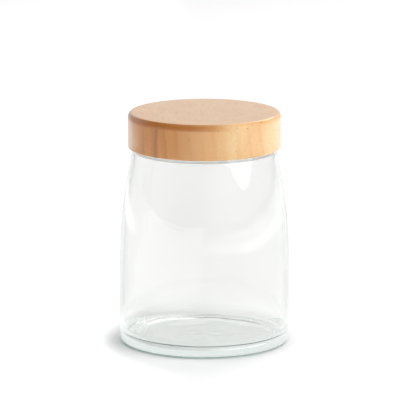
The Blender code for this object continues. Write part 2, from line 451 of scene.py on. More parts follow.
def rib_tree():
    """Stand small upright ribs evenly round a wall, joined to the mesh that comes in."""
    tree = new_geometry_tree("ribbed_wall", [
        ("Count", "NodeSocketInt", 72),
        ("Wall Radius", "NodeSocketFloat", 0.0458),
        ("Middle Height", "NodeSocketFloat", 0.135),
        ("Rib Size", "NodeSocketVector", (0.0004, 0.0008, 0.010)),
        ("Material", "NodeSocketMaterial", None),
    ])
    source = add_node(tree, "NodeGroupInput")
    circle = add_node(tree, "GeometryNodeMeshCircle")
    rib = add_node(tree, "GeometryNodeMeshCube")
    lift = add_node(tree, "ShaderNodeCombineXYZ")
    raised = add_node(tree, "GeometryNodeSetPosition")
    outward = add_node(tree, "GeometryNodeInputPosition")
    aim = add_node(tree, "FunctionNodeAlignRotationToVector", axis="X", pivot_axis="Z")
    stand = add_node(tree, "GeometryNodeInstanceOnPoints")
    realize = add_node(tree, "GeometryNodeRealizeInstances")
    join = add_node(tree, "GeometryNodeJoinGeometry")
    dress = add_node(tree, "GeometryNodeSetMaterial")
    result = add_node(tree, "NodeGroupOutput")
    wire_up(tree, (
        (source, "Count", circle, "Vertices"),
        (source, "Wall Radius", circle, "Radius"),
        (source, "Rib Size", rib, "Size"),
        (source, "Middle Height", lift, "Z"),
        (circle, "Mesh", raised, "Geometry"),
        (lift, "Vector", raised, "Offset"),
        (outward, "Position", aim, "Vector"),
        (raised, "Geometry", stand, "Points"),
        (rib, "Mesh", stand, "Instance"),
        (aim, "Rotation", stand, "Rotation"),
        (stand, "Instances", realize, "Geometry"),
        (source, "Geometry", join, "Geometry"),
        (realize, "Geometry", join, "Geometry"),
        (join, "Geometry", dress, "Geometry"),
        (source, "Material", dress, "Material"),
        (dress, "Geometry", result, "Geometry"),
    ))
    return tree


def turned_by_sweep(name, section, segments, sweep_radius, material):
    """Turn a section of (radius, height) points about the Z axis with geometry nodes.

    A section that ends on the axis at both ends stays open there; any other is closed.
    """
    data = bpy.data.meshes.new(name + "_section")
    points = [(radius - sweep_radius, -height, 0.0) for radius, height in section]
    on_axis = section[0][0] == 0.0 and section[-1][0] == 0.0
    count = len(points)
    edges = [(index, (index + 1) % count) for index in range(count - on_axis)]
    data.from_pydata(points, edges, [])
    tree = bpy.data.node_groups.get("turned_section") or sweep_tree()
    turned = baked_mesh(data, tree, {
        "Segments": segments, "Sweep Radius": sweep_radius, "Material": material}, name)
    tidy = bmesh.new()
    tidy.from_mesh(turned)
    bmesh.ops.dissolve_degenerate(tidy, dist=1e-7, edges=tidy.edges)
    bmesh.ops.recalc_face_normals(tidy, faces=tidy.faces)
    tidy.to_mesh(turned)
    tidy.free()
    return turned


# ------------------------------------------------------------------ shader helpers
def new_shader_group(name, inputs, outputs):
    """Return a shader node group with the named inputs and outputs, and its two end nodes."""
    group = bpy.data.node_groups.new(name, "ShaderNodeTree")
    for label, socket_type, default in inputs:
        socket = group.interface.new_socket(label, in_out="INPUT", socket_type=socket_type)
        if default is not None:
            socket.default_value = default
    for label, socket_type in outputs:
        group.interface.new_socket(label, in_out="OUTPUT", socket_type=socket_type)
    return group, add_node(group, "NodeGroupInput"), add_node(group, "NodeGroupOutput")


def maths(tree, operation, first, second=None):
    """Add a Math node; first and second are sockets or numbers."""
    node = add_node(tree, "ShaderNodeMath", operation=operation)
    for index, value in enumerate((first, second)):
        if isinstance(value, (int, float)):
            node.inputs[index].default_value = value
        elif value is not None:
            tree.links.new(value, node.inputs[index])
    return node.outputs[0]


def ramp(tree, source, low, high, to_low=0.0, to_high=1.0, smooth=True):
    """Map a value from between low and high to between to_low and to_high, clamped."""
    node = add_node(tree, "ShaderNodeMapRange", clamp=True,
                    interpolation_type="SMOOTHSTEP" if smooth else "LINEAR")
    set_inputs(node, From_Min=low, From_Max=high, To_Min=to_low, To_Max=to_high)
    tree.links.new(source, node.inputs["Value"])
    return node.outputs["Result"]


def mixed(tree, factor, first, second):
    """Mix two colours; each of the three may be a socket or a value."""
    node = add_node(tree, "ShaderNodeMix", data_type="RGBA")
    for index, value in ((0, factor), (6, first), (7, second)):
        if isinstance(value, (int, float)):
            node.inputs[index].default_value = value
        elif isinstance(value, (tuple, list)) or hasattr(value, "hsv"):
            node.inputs[index].default_value = (*value[:3], 1.0)
        else:
            tree.links.new(value, node.inputs[index])
    return node.outputs[2]


def scaled(tree, vector, scale):
    """Stretch a vector socket."""
    node = add_node(tree, "ShaderNodeMapping", vector_type="POINT")
    set_inputs(node, Scale=scale)
    tree.links.new(vector, node.inputs["Vector"])
    return node.outputs["Vector"]


def noise(tree, vector, detail=2.0, roughness=0.5, distortion=0.0, scale=1.0):
    """Return the value of a noise texture on a vector socket."""
    node = add_node(tree, "ShaderNodeTexNoise")
    set_inputs(node, Scale=scale, Detail=detail, Roughness=roughness, Distortion=distortion)
    tree.links.new(vector, node.inputs["Vector"])
    return node.outputs["Fac"]


def product(tree, first, second):
    """Multiply two values."""
    return maths(tree, "MULTIPLY", first, second)


def total(tree, first, second):
    """Add two values."""
    return maths(tree, "ADD", first, second)


def parts_of(tree, vector):
    """Return the X, Y and Z of a vector socket."""
    node = add_node(tree, "ShaderNodeSeparateXYZ")
    tree.links.new(vector, node.inputs["Vector"])
    return node.outputs["X"], node.outputs["Y"], node.outputs["Z"]


def vector_maths(tree, operation, vector, second=None):
    """Add a Vector Math node; second is a constant vector."""
    node = add_node(tree, "ShaderNodeVectorMath", operation=operation)
    tree.links.new(vector, node.inputs[0])
    if second is not None:
        node.inputs[1].default_value = second
    return node.outputs


def length_of(tree, vector, scale):
    """Return the length of a vector after each of its parts is scaled."""
    stretched = vector_maths(tree, "MULTIPLY", vector, scale)["Vector"]
    return vector_maths(tree, "LENGTH", stretched)["Value"]


def leaning(tree, way, direction):
    """Return how far a way leans towards a direction."""
    return vector_maths(tree, "DOT_PRODUCT", way, direction)["Value"]


def fade(tree, source, low, high):
    """Return 1 below low, 0 above high and a smooth fall between them."""
    return ramp(tree, source, low, high, to_low=1.0, to_high=0.0)


def lay_out(tree):
    """Set a finished tree out in columns, each node to the left of all that it feeds."""
    column = {node.name: 0 for node in tree.nodes}
    for _ in tree.nodes:
        for wire in tree.links:
            source, target = wire.from_node.name, wire.to_node.name
            column[source] = max(column[source], column[target] + 1)
    filled = {}
    for node in tree.nodes:
        place = column[node.name]
        node.location = (-COLUMN_WIDTH * place, -ROW_HEIGHT * filled.get(place, 0))
        filled[place] = filled.get(place, 0) + 1


def beech_grain_group():
    """Straight beech grain along Y: growth bands across X, fine fibres and ray flecks."""
    group, source, result = new_shader_group(
        "beech_grain",
        [("Vector", "NodeSocketVector", None), ("Ring Spacing", "NodeSocketFloat", 0.0045)],
        [("Rings", "NodeSocketFloat"), ("Clouds", "NodeSocketFloat"),
         ("Fibres", "NodeSocketFloat"), ("Flecks", "NodeSocketFloat"),
         ("Height", "NodeSocketFloat")])
    here = source.outputs["Vector"]
    link = group.links.new
    x, _, z = parts_of(group, here)
    wander = noise(group, scaled(group, here, (24.0, 9.0, 14.0)), detail=3.0, roughness=0.55)
    tilt = product(group, z, 0.06)
    across = total(group, x, tilt)
    bend = product(group, wander, 0.014)
    depth = total(group, across, bend)
    turns = maths(group, "DIVIDE", depth, source.outputs["Ring Spacing"])
    phase = maths(group, "FRACT", turns, None)
    late = ramp(group, phase, 0.42, 0.97)
    early = fade(group, phase, 0.97, 1.0)
    rings = product(group, late, early)
    link(rings, result.inputs["Rings"])
    clouds = noise(group, scaled(group, here, (52.0, 40.0, 14.0)),
                   detail=2.0, roughness=0.5, distortion=0.4)
    link(ramp(group, clouds, 0.32, 0.70), result.inputs["Clouds"])
    fibres = noise(group, scaled(group, here, (1400.0, 60.0, 420.0)), detail=4.0, roughness=0.65)
    link(ramp(group, fibres, 0.25, 0.75), result.inputs["Fibres"])
    cells = add_node(group, "ShaderNodeTexVoronoi", feature="F1")
    set_inputs(cells, Scale=1.0, Randomness=1.0)
    link(scaled(group, here, (330.0, 110.0, 300.0)), cells.inputs["Vector"])
    body = fade(group, cells.outputs["Distance"], 0.10, 0.21)
    chosen = add_node(group, "ShaderNodeSeparateColor")
    link(cells.outputs["Color"], chosen.inputs["Color"])
    strength = ramp(group, chosen.outputs[0], 0.25, 1.0)
    flecks = product(group, body, strength)
    link(flecks, result.inputs["Flecks"])
    lowered = product(group, flecks, -0.5)
    link(total(group, fibres, lowered), result.inputs["Height"])
    return group


def fine_surface_group():
    """Faint handling marks and moulding texture shared by glass, plastic and silicone."""
    group, source, result = new_shader_group(
        "fine_surface",
        [("Vector", "NodeSocketVector", None), ("Grain Scale", "NodeSocketFloat", 900.0),
         ("Smudge Scale", "NodeSocketFloat", 45.0)],
        [("Grain", "NodeSocketFloat"), ("Smudges", "NodeSocketFloat")])
    link = group.links.new
    grain = add_node(group, "ShaderNodeTexNoise")
    set_inputs(grain, Detail=3.0, Roughness=0.6)
    link(source.outputs["Vector"], grain.inputs["Vector"])
    link(source.outputs["Grain Scale"], grain.inputs["Scale"])
    link(grain.outputs["Fac"], result.inputs["Grain"])
    smudge = add_node(group, "ShaderNodeTexNoise")
    set_inputs(smudge, Detail=3.0, Roughness=0.55, Distortion=0.6)
    link(source.outputs["Vector"], smudge.inputs["Vector"])
    link(source.outputs["Smudge Scale"], smudge.inputs["Scale"])
    link(ramp(group, smudge.outputs["Fac"], 0.42, 0.72), result.inputs["Smudges"])
    return group


def shader_group(name, maker):
    """Return a shader group by name, making it on first use."""
    group = bpy.data.node_groups.get(name)
    if group is None:
        group = maker()
        lay_out(group)
    return group


def new_material(name):
    """Return an empty node material with a Principled shader, its output and coordinates."""
    material = bpy.data.materials.new(name)
    material.use_nodes = True
    tree = material.node_tree
    tree.nodes.clear()
    output = add_node(tree, "ShaderNodeOutputMaterial")
    shader = add_node(tree, "ShaderNodeBsdfPrincipled")
    place = add_node(tree, "ShaderNodeTexCoord").outputs["Object"]
    tree.links.new(shader.outputs["BSDF"], output.inputs["Surface"])
    return material, tree, shader, output, place


def placed_group(tree, group, vector, **values):
    """Place a shader group in a material with its own values."""
    node = add_node(tree, "ShaderNodeGroup", node_tree=group)
    tree.links.new(vector, node.inputs["Vector"])
    set_inputs(node, **values)
    return node


def bump(tree, height, strength, distance, shader):
    """Drive a shader's normal by a height."""
    node = add_node(tree, "ShaderNodeBump")
    set_inputs(node, Strength=strength, Distance=distance)
    tree.links.new(height, node.inputs["Height"])
    tree.links.new(node.outputs["Normal"], shader.inputs["Normal"])


def clear_glass(settings):
    """Clear soda-lime glass that lets most light through to what it shades, with painted shade
    along its edges, low on its wall and at the front of its foot, and a painted glow where rays
    are trapped in it.
    """
    material, tree, shader, output, place = new_material("clear_glass")
    set_inputs(shader, Metallic=0.0, Roughness=0.0, IOR=1.52, Specular_IOR_Level=0.25,
               Transmission_Weight=1.0)
    _, y, z = parts_of(tree, place)
    reach = length_of(tree, place, AXIS_ONLY)
    # painted shadow: a dark line round the outside of the foot, at its lowest edge and on its
    # front only
    outside = ramp(tree, reach, *FOOT_SHADOW_RADIUS)
    lowest = fade(tree, z, *FOOT_SHADOW_HEIGHT)
    frontal = fade(tree, y, -0.020, 0.005)
    painted_foot_shadow = product(tree, outside, product(tree, lowest, frontal))
    facing = add_node(tree, "ShaderNodeLayerWeight")
    set_inputs(facing, Blend=0.5)
    # painted shade: above the floor, the glass's colour darkens towards its silhouettes, where the
    # view grazes it
    above_floor = ramp(tree, z, *FLOOR_TO_WALL)
    painted_edge_shade = product(tree, above_floor, ramp(tree, facing.outputs["Facing"], 0.66, 0.98))
    # painted shade: the glass is tinted a little darker low on its wall than high up
    high = ramp(tree, z, *WALL_LOW_TO_HIGH)
    wall = mixed(tree, high, GLASS_WALL_LOW_PAINTED_SHADE, GLASS_WALL_HIGH)
    body = mixed(tree, painted_edge_shade, wall, GLASS_EDGE_PAINTED_SHADE)
    tree.links.new(mixed(tree, painted_foot_shadow, body, GLASS_PAINTED_FOOT_SHADOW), shader.inputs["Base Color"])
    marks = placed_group(tree, shader_group("fine_surface", fine_surface_group),
                         place, Grain_Scale=260.0, Smudge_Scale=60.0)
    soft = noise(tree, scaled(tree, place, (70.0, 70.0, 26.0)), detail=2.0)
    height = total(tree, soft, product(tree, marks.outputs["Grain"], 0.02))
    bump(tree, height, 0.10, 0.0006, shader)
    path = add_node(tree, "ShaderNodeLightPath")
    see = add_node(tree, "ShaderNodeBsdfTransparent")
    veil = mixed(tree, facing.outputs["Facing"], GLASS_SHADE_FACING, GLASS_SHADE_EDGE)
    heel = fade(tree, z, *HEEL_HEIGHT)
    heavy = mixed(tree, heel, veil, GLASS_SHADE_HEEL)
    tree.links.new(heavy, see.inputs["Color"])
    choose = add_node(tree, "ShaderNodeMixShader")
    tree.links.new(path.outputs["Is Shadow Ray"], choose.inputs[0])
    tree.links.new(shader.outputs["BSDF"], choose.inputs[1])
    tree.links.new(see.outputs["BSDF"], choose.inputs[2])
    # painted light: a ray trapped this deep in the glass ends in a glow of the glass's deep colour
    trapped = maths(tree, "GREATER_THAN", path.outputs["Ray Depth"], TRAPPED_DEPTH)
    fill = add_node(tree, "ShaderNodeEmission")
    set_inputs(fill, Color=GLASS_PAINTED_GLOW, Strength=0.98)
    last = add_node(tree, "ShaderNodeMixShader")
    tree.links.new(trapped, last.inputs[0])
    tree.links.new(choose.outputs["Shader"], last.inputs[1])
    tree.links.new(fill.outputs["Emission"], last.inputs[2])
    tree.links.new(last.outputs["Shader"], output.inputs["Surface"])
    absorb = add_node(tree, "ShaderNodeVolumeAbsorption")
    set_inputs(absorb, Color=(*settings.tint, 1.0), Density=3.5)
    tree.links.new(absorb.outputs["Volume"], output.inputs["Volume"])
    return material


def oiled_beech(settings):
    """Turned and lightly oiled beech, grain along Y, with a painted sheen on its right side and
    painted shade along its rounded top edge.
    """
    material, tree, shader, _, place = new_material("oiled_beech")
    grain = placed_group(tree, shader_group("beech_grain", beech_grain_group), place,
                         Ring_Spacing=0.0075)
    x, _, z = parts_of(tree, place)
    # painted light and shade: the side runs from the darker wood colour at the left to a paler,
    # creamy sheen at the right, where the key light falls
    across = ramp(tree, x, -0.031, 0.029)
    aloft = ramp(tree, z, settings.top - 0.0030, settings.top - 0.0006)
    side = mixed(tree, across, settings.pale, BEECH_PAINTED_SHEEN)
    ground = mixed(tree, aloft, side, BEECH_TOP)
    strength = ramp(tree, x, -0.034, 0.005, to_low=0.95, to_high=0.14)
    off_top = ramp(tree, z, settings.top - 0.0030, settings.top - 0.0006, to_low=1.0, to_high=0.10)
    patchy = ramp(tree, grain.outputs["Clouds"], 0.15, 0.75, to_low=0.25)
    rings = product(tree, grain.outputs["Rings"], patchy)
    banded = product(tree, rings, product(tree, strength, off_top))
    tone = mixed(tree, banded, ground, settings.warm)
    clouded = mixed(tree, product(tree, grain.outputs["Clouds"], 0.35),
                    tone, BEECH_CLOUD)
    winding = product(tree, grain.outputs["Clouds"], 0.0022)
    shifted = total(tree, x, HEART_OFFSET)
    from_heart = maths(tree, "ABSOLUTE", total(tree, winding, shifted))
    heart = ramp(tree, from_heart, 0.0004, 0.0019, to_low=0.62, to_high=0.0)
    clouded = mixed(tree, product(tree, heart, off_top), clouded, BEECH_HEART)
    thread = product(tree, off_top, 0.10)
    thread = total(tree, thread, 0.12)
    fibred = mixed(tree, product(tree, grain.outputs["Fibres"], thread),
                   clouded, BEECH_FIBRE)
    flecked = mixed(tree, product(tree, grain.outputs["Flecks"], 0.55),
                    fibred, settings.fleck)
    # painted shade: a dark band along the rounded top edge, strong at the left and fading out
    # towards the right
    reach = length_of(tree, place, AXIS_ONLY)
    near_rim = ramp(tree, reach, settings.radius - 0.0026, settings.radius - 0.0012)
    near_top = ramp(tree, z, settings.top - 0.0050, settings.top - 0.0034)
    edge = product(tree, near_rim, near_top)
    edge_shade_share = ramp(tree, x, -0.010, 0.022, to_low=0.85, to_high=0.0)
    edge_shaded = mixed(tree, product(tree, edge, edge_shade_share), flecked, BEECH_PAINTED_EDGE_SHADE)
    tree.links.new(edge_shaded, shader.inputs["Base Color"])
    tree.links.new(ramp(tree, grain.outputs["Fibres"], 0.0, 1.0, to_low=0.28,
                        to_high=0.38, smooth=False), shader.inputs["Roughness"])
    set_inputs(shader, Metallic=0.0, IOR=1.5, Specular_IOR_Level=0.3, Coat_Weight=0.75,
               Coat_Roughness=0.10)
    bump(tree, grain.outputs["Height"], 0.18, 0.00012, shader)
    return material


def moulded_plastic(settings):
    """White moulded polypropylene with a satin skin."""
    material, tree, shader, _, place = new_material("white_polypropylene")
    marks = placed_group(tree, shader_group("fine_surface", fine_surface_group),
                         place, Grain_Scale=1600.0, Smudge_Scale=80.0)
    shade = mixed(tree, product(tree, marks.outputs["Smudges"], 0.25),
                  settings.colour, PLASTIC_SMUDGE)
    tree.links.new(shade, shader.inputs["Base Color"])
    tree.links.new(ramp(tree, marks.outputs["Smudges"], 0.0, 1.0, to_low=0.34,
                        to_high=0.48, smooth=False), shader.inputs["Roughness"])
    set_inputs(shader, Metallic=0.0, IOR=1.49, Subsurface_Weight=0.08, Subsurface_Scale=0.002)
    bump(tree, marks.outputs["Grain"], 0.12, 0.00006, shader)
    return material


def soft_silicone(settings):
    """Translucent white silicone, dusty and satin."""
    material, tree, shader, _, place = new_material("clear_silicone")
    marks = placed_group(tree, shader_group("fine_surface", fine_surface_group),
                         place, Grain_Scale=2200.0, Smudge_Scale=120.0)
    shade = mixed(tree, product(tree, marks.outputs["Smudges"], 0.30),
                  settings.colour, SILICONE_SMUDGE)
    tree.links.new(shade, shader.inputs["Base Color"])
    tree.links.new(ramp(tree, marks.outputs["Smudges"], 0.0, 1.0, to_low=0.42,
                        to_high=0.60, smooth=False), shader.inputs["Roughness"])
    set_inputs(shader, Metallic=0.0, IOR=1.41, Subsurface_Weight=0.25, Subsurface_Scale=0.003)
    bump(tree, marks.outputs["Grain"], 0.10, 0.00005, shader)
    return material


def studio_paper(colour, glow):
    """Plain matt white floor panel that glows, with painted pools of light out to its sides, a
    painted contact shadow round the jar and painted light beside and under it.
    """
    material, tree, shader, _, place = new_material("studio_paper")
    fine = noise(tree, place, scale=3.0, detail=2.0)
    shade = mixed(tree, product(tree, fine, 0.02), colour, PAPER_MOTTLE)
    set_inputs(shader, Roughness=0.9, Specular_IOR_Level=0.1, Emission_Color=(1.0, 1.0, 1.0, 1.0))
    # painted light: pools of glow in the floor out to the right, at the far left and along the
    # right, fading in and out with distance from the jar
    x, y, _ = parts_of(tree, place)
    slant = maths(tree, "SUBTRACT", product(tree, x, 0.8),
                  product(tree, y, 0.6))
    right = ramp(tree, slant, 0.30, 0.60, to_high=0.55)
    left = ramp(tree, x, -0.50, -0.25, to_low=0.7, to_high=0.0)
    far = ramp(tree, y, 0.05, 0.40)
    edge = ramp(tree, x, 0.35, 0.60, to_high=0.35)
    painted_light_pools = total(tree, right, total(tree, edge, product(tree, left, far)))
    reach = length_of(tree, place, (1.0, 1.0, 1.0))
    inner = ramp(tree, reach, *LIGHT_POOL_INNER)
    outer = fade(tree, reach, *LIGHT_POOL_OUTER)
    sides = product(tree, painted_light_pools, product(tree, inner, outer))
    # painted shadow: where ambient occlusion finds the jar close, the floor's colour darkens and
    # its glow is held back
    shut = add_node(tree, "ShaderNodeAmbientOcclusion", samples=8)
    set_inputs(shut, Distance=0.014)
    open_air = ramp(tree, shut.outputs["AO"], 0.40, 0.96, smooth=False)
    tree.links.new(mixed(tree, open_air, PAPER_PAINTED_CONTACT_SHADE, shade), shader.inputs["Base Color"])
    # painted light: extra glow outside an oval round the jar, strongest to its front and left,
    # which keeps the shadow there small
    spread = length_of(tree, place, (1.0, 0.72, 0.0))
    clear = ramp(tree, spread, 0.055, 0.074, to_high=0.40)
    to_front = ramp(tree, y, 0.02, 0.10, to_low=1.0, to_high=0.25)
    to_left = ramp(tree, x, -0.070, 0.0, to_low=1.0, to_high=0.12)
    forward = product(tree, to_front, to_left)
    level = total(tree, glow, product(tree, clear, forward))
    # painted light: a glow on the floor under the jar, brighter towards the right
    across = ramp(tree, x, -0.050, 0.030, to_low=0.08, to_high=0.20)
    under_jar_glow = fade(tree, reach, *UNDER_JAR_GLOW_RADIUS)
    under = total(tree, product(tree, open_air, level),
                  product(tree, under_jar_glow, across))
    tree.links.new(total(tree, sides, under), shader.inputs["Emission Strength"])
    return material


# ------------------------------------------------------------------ operators
class CANISTER_OT_glass_jar(bpy.types.Operator):
    """Build the glass jar with its leaning body, threaded neck and thick floor"""

    bl_idname = "canister.glass_jar"
    bl_label = "Glass jar"

    SHOULDER = 0.1279
    RIM = 0.1403
    FLOOR_EDGE = 0.0036
    FLOOR_FILLET = 0.0085
    FLOOR_RISE = 0.0008
    FLOOR_FLAT_RADIUS = 0.0410
    NECK_RADIUS = 0.0430
    NECK_CREST_RADIUS = 0.04415
    NECK_FILLET = 0.0009
    MOUTH_RADIUS = 0.0405
    THREAD_START = 0.1309
    THREAD_TURNS = 1.25
    THREAD_BASE = 0.1290
    THREAD_TOP = 0.1391
    HEEL_FILLET = 0.0028
    FOOT_INNER_RADIUS = 0.0455
    FOOT_INNER_FILLET = 0.0012
    PUSH_UP = 0.0016
    PUSH_UP_DROP = 0.0006
    PUSH_UP_RADIUS = 0.0420
    SHOULDER_FILLET = 0.0018
    SHOULDER_UNDERSIDE = 0.1256
    SHOULDER_INNER_FILLET = 0.0024
    MOUTH_INNER_FILLET = 0.0014
    SEAM_ANGLES = (math.radians(-133.5), math.radians(46.5))
    SEAM_HALF_WIDTH = math.radians(0.28)

    def columns(self, count):
        """Return the angles of the columns, with a close trio at each mould seam."""
        angles = even_angles(count)
        step = 2.0 * math.pi / count
        for seam in self.SEAM_ANGLES:
            seam %= 2.0 * math.pi
            angles = [angle for angle in angles if abs(angle - seam) > 0.45 * step]
            angles += [seam - self.SEAM_HALF_WIDTH, seam, seam + self.SEAM_HALF_WIDTH]
        return sorted(angles)

    def body_side(self, settings, start, end, steps, inset):
        """Return points up or down the body between two heights, inset from its outside."""
        points = []
        for step in range(steps + 1):
            height = start + (end - start) * step / steps
            rise = max(height - settings.taper_start, 0.0)
            arc = settings.taper_arc
            radius = settings.body_radius - arc + math.sqrt(arc * arc - rise * rise)
            points.append((radius - inset, height))
        return points

    def drift(self, settings):
        """Return how the drawn glass wanders from a true turned shape, inside and out."""
        seams = [seam % (2.0 * math.pi) for seam in self.SEAM_ANGLES]

        def move(angle, radius, height):
            outer = self.body_side(settings, height, height, 1, 0.0)[0][0]
            on_wall = (smooth_share(height, 0.016, 0.034)
                       * (1.0 - smooth_share(height, 0.108, 0.120)))
            if radius < outer - 0.5 * settings.wall and radius > 0.030:
                waves = (math.sin(3.0 * angle + 26.0 * height + 0.7)
                         + 0.7 * math.sin(5.0 * angle - 55.0 * height + 2.1)
                         + 0.5 * math.sin(8.0 * angle + 95.0 * height + 4.0)
                         + 0.3 * math.sin(13.0 * angle + 30.0 * height + 1.3))
                radius += settings.waviness * waves * on_wall
            elif height < self.SHOULDER - 0.004 and height > 0.004:
                if any(abs(angle - seam) < 1e-6 for seam in seams):
                    radius += settings.seam_height
            if radius < 0.050 and height < 0.012:
                ripple = (math.sin(2.0 * angle + 190.0 * radius + 0.4)
                          + 0.6 * math.sin(3.0 * angle - 330.0 * radius + 2.2)
                          + 0.4 * math.sin(5.0 * angle + 260.0 * radius + 5.0))
                inside = 1.0 - smooth_share(radius, 0.038, 0.046)
                near_axis = smooth_share(radius, 0.002, 0.014)
                height += 0.00011 * ripple * inside * near_axis
            return radius, height

        return move

    def execute(self, context):
        settings = context.scene.glass_jar_settings
        wall = settings.wall
        body = settings.body_radius
        jar = Turning(self.columns(settings.columns), self.drift(settings))
        underside = [(self.PUSH_UP_RADIUS * step / 10.0,
                      self.PUSH_UP - self.PUSH_UP_DROP * (step / 10.0) ** 2)
                     for step in range(11)]
        jar.follow(rounded_path([
            *underside,
            (self.FOOT_INNER_RADIUS, 0.0, self.FOOT_INNER_FILLET, 4),
            (body, 0.0, self.HEEL_FILLET, 8),
            *self.body_side(settings, 0.0060, settings.taper_start, 10, 0.0),
            *self.body_side(settings, settings.taper_start + 0.003,
                            self.SHOULDER - 0.0032, 26, 0.0),
            (self.body_side(settings, self.SHOULDER, self.SHOULDER, 1, 0.0)[0][0],
             self.SHOULDER, self.SHOULDER_FILLET, 8),
            (self.NECK_RADIUS, self.SHOULDER, self.NECK_FILLET, 5),
            (self.NECK_RADIUS, self.THREAD_BASE),
        ]))
        jar.climb_thread(self.NECK_RADIUS, self.NECK_CREST_RADIUS, self.THREAD_START,
                         self.THREAD_TURNS, RIDGE_SECTION, self.THREAD_TOP)
        under = self.SHOULDER_UNDERSIDE
        top_of_wall = self.body_side(settings, under, under, 1, wall)[0][0]
        floor = [(self.FLOOR_FLAT_RADIUS * (1.0 - step / 12.0),
                  self.FLOOR_EDGE + self.FLOOR_RISE * smooth_share(step, 0, 12))
                 for step in range(13)]
        inside = rounded_path([
            (self.NECK_RADIUS, self.THREAD_TOP),
            (self.NECK_RADIUS, self.RIM, self.NECK_FILLET, 6),
            (self.MOUTH_RADIUS, self.RIM, self.NECK_FILLET, 6),
            (self.MOUTH_RADIUS, 0.1343),
            (self.MOUTH_RADIUS, under, self.MOUTH_INNER_FILLET, 5),
            (top_of_wall, under, self.SHOULDER_INNER_FILLET, 8),
            *self.body_side(settings, under - 0.0040, settings.taper_start + 0.003, 26, wall),
            *self.body_side(settings, settings.taper_start, 0.0140, 12, wall),
            (body - wall, self.FLOOR_EDGE, self.FLOOR_FILLET, 14),
            *floor,
        ])
        jar.follow(inside[1:])
        data = jar.mesh_data("glass_jar_body")
        put_in_scene("glass_jar_body", data, clear_glass(settings), "jar",
                     "glass_jar")
        return {"FINISHED"}


class CANISTER_OT_beech_cap(bpy.types.Operator):
    """Turn the wooden cap from its section with geometry nodes"""

    bl_idname = "canister.beech_cap"
    bl_label = "Beech cap"

    ROUND_WIDTH = 0.0022
    ROUND_DROP = 0.0040
    RECESS_RADIUS = 0.0461
    RECESS_TOP = 0.1443
    RELIEF_RADIUS = 0.0469
    RELIEF_TOP = 0.1291

    def execute(self, context):
        settings = context.scene.beech_cap_settings
        steps = 14
        round_over = []
        for step in range(steps + 1):
            turn = 0.5 * math.pi * step / steps
            round_over.append((settings.radius - self.ROUND_WIDTH * (1.0 - math.sin(turn)),
                               settings.top - self.ROUND_DROP * (1.0 - math.cos(turn))))
        section = rounded_path([
            (0.0, settings.top),
            (0.015, settings.top),
            (0.030, settings.top),
            (0.042, settings.top),
            *round_over,
            (settings.radius, settings.bottom + 0.010),
            (settings.radius, settings.bottom, 0.0010, 6),
            (self.RELIEF_RADIUS + 0.0003, settings.bottom),
            (self.RELIEF_RADIUS, settings.bottom + 0.0003),
            (self.RELIEF_RADIUS, self.RELIEF_TOP),
            (self.RECESS_RADIUS, self.RELIEF_TOP),
            (self.RECESS_RADIUS, self.RECESS_TOP),
            (0.0, self.RECESS_TOP),
        ])
        material = oiled_beech(settings)
        data = turned_by_sweep("beech_cap_turned", section, settings.columns, 0.03, material)
        put_in_scene("beech_cap_turned", data, material, "lid", "beech_cap")
        return {"FINISHED"}


class CANISTER_OT_threaded_insert(bpy.types.Operator):
    """Build the plastic insert with its inner thread, and stand the grip ribs round it"""

    bl_idname = "canister.threaded_insert"
    bl_label = "Threaded insert"

    RADIUS = 0.0458
    TOP = 0.1440
    BOTTOM = 0.1293
    INNER_RADIUS = 0.0446
    CREST_RADIUS = 0.04345
    PLATE = 0.1425
    THREAD_START = 0.1307
    THREAD_TURNS = 1.125
    THREAD_TOP = 0.1391
    THREAD_CLIMB = 0.0016   # turns the start of the ridge on, as the lead carries this height
    GUIDE_OUTER_RADIUS = 0.0394
    GUIDE_INNER_RADIUS = 0.0382
    GUIDE_BOTTOM = 0.1415
    GATE_RADIUS = 0.0060    # shallow moulding mark in the middle of the plate
    EDGE = 0.0003
    RIB_MIDDLE = 0.1365
    RIB_SIZE = (0.0004, 0.0008, 0.0110)

    def execute(self, context):
        settings = context.scene.insert_settings
        first = 2.0 * math.pi * self.THREAD_CLIMB / THREAD_LEAD
        insert = Turning(even_angles(settings.columns, first))
        insert.follow(rounded_path([
            (0.0, self.TOP),
            (self.RADIUS, self.TOP, 0.0006, 4),
            (self.RADIUS, self.BOTTOM, self.EDGE, 3),
            (self.INNER_RADIUS + self.EDGE, self.BOTTOM),
            (self.INNER_RADIUS, self.BOTTOM + 0.00009),
        ]))
        insert.climb_thread(self.INNER_RADIUS, self.CREST_RADIUS, self.THREAD_START,
                            self.THREAD_TURNS, RIDGE_SECTION, self.THREAD_TOP)
        plate = rounded_path([
            (self.INNER_RADIUS, self.THREAD_TOP),
            (self.INNER_RADIUS, self.PLATE, 0.0004, 3),
            (self.GUIDE_OUTER_RADIUS, self.PLATE),
            (self.GUIDE_OUTER_RADIUS, self.GUIDE_BOTTOM, self.EDGE, 3),
            (self.GUIDE_INNER_RADIUS, self.GUIDE_BOTTOM, self.EDGE, 3),
            (self.GUIDE_INNER_RADIUS, self.PLATE, self.EDGE, 3),
            (self.GATE_RADIUS + 0.0002, self.PLATE),
            (self.GATE_RADIUS - 0.0002, self.PLATE + self.EDGE),
            (0.0018, self.PLATE + self.EDGE),
            (0.0014, self.PLATE),
            (0.0, self.PLATE - 0.0001),
        ])
        insert.follow(plate[1:])
        material = moulded_plastic(settings)
        tree = bpy.data.node_groups.get("ribbed_wall") or rib_tree()
        data = baked_mesh(insert.mesh_data("insert_turned"), tree, {
            "Count": settings.rib_count,
            "Wall Radius": self.RADIUS,
            "Middle Height": self.RIB_MIDDLE,
            "Rib Size": self.RIB_SIZE,
            "Material": material,
        }, "threaded_insert_moulded")
        put_in_scene("threaded_insert_moulded", data, material, "lid",
                     "threaded_insert")
        return {"FINISHED"}


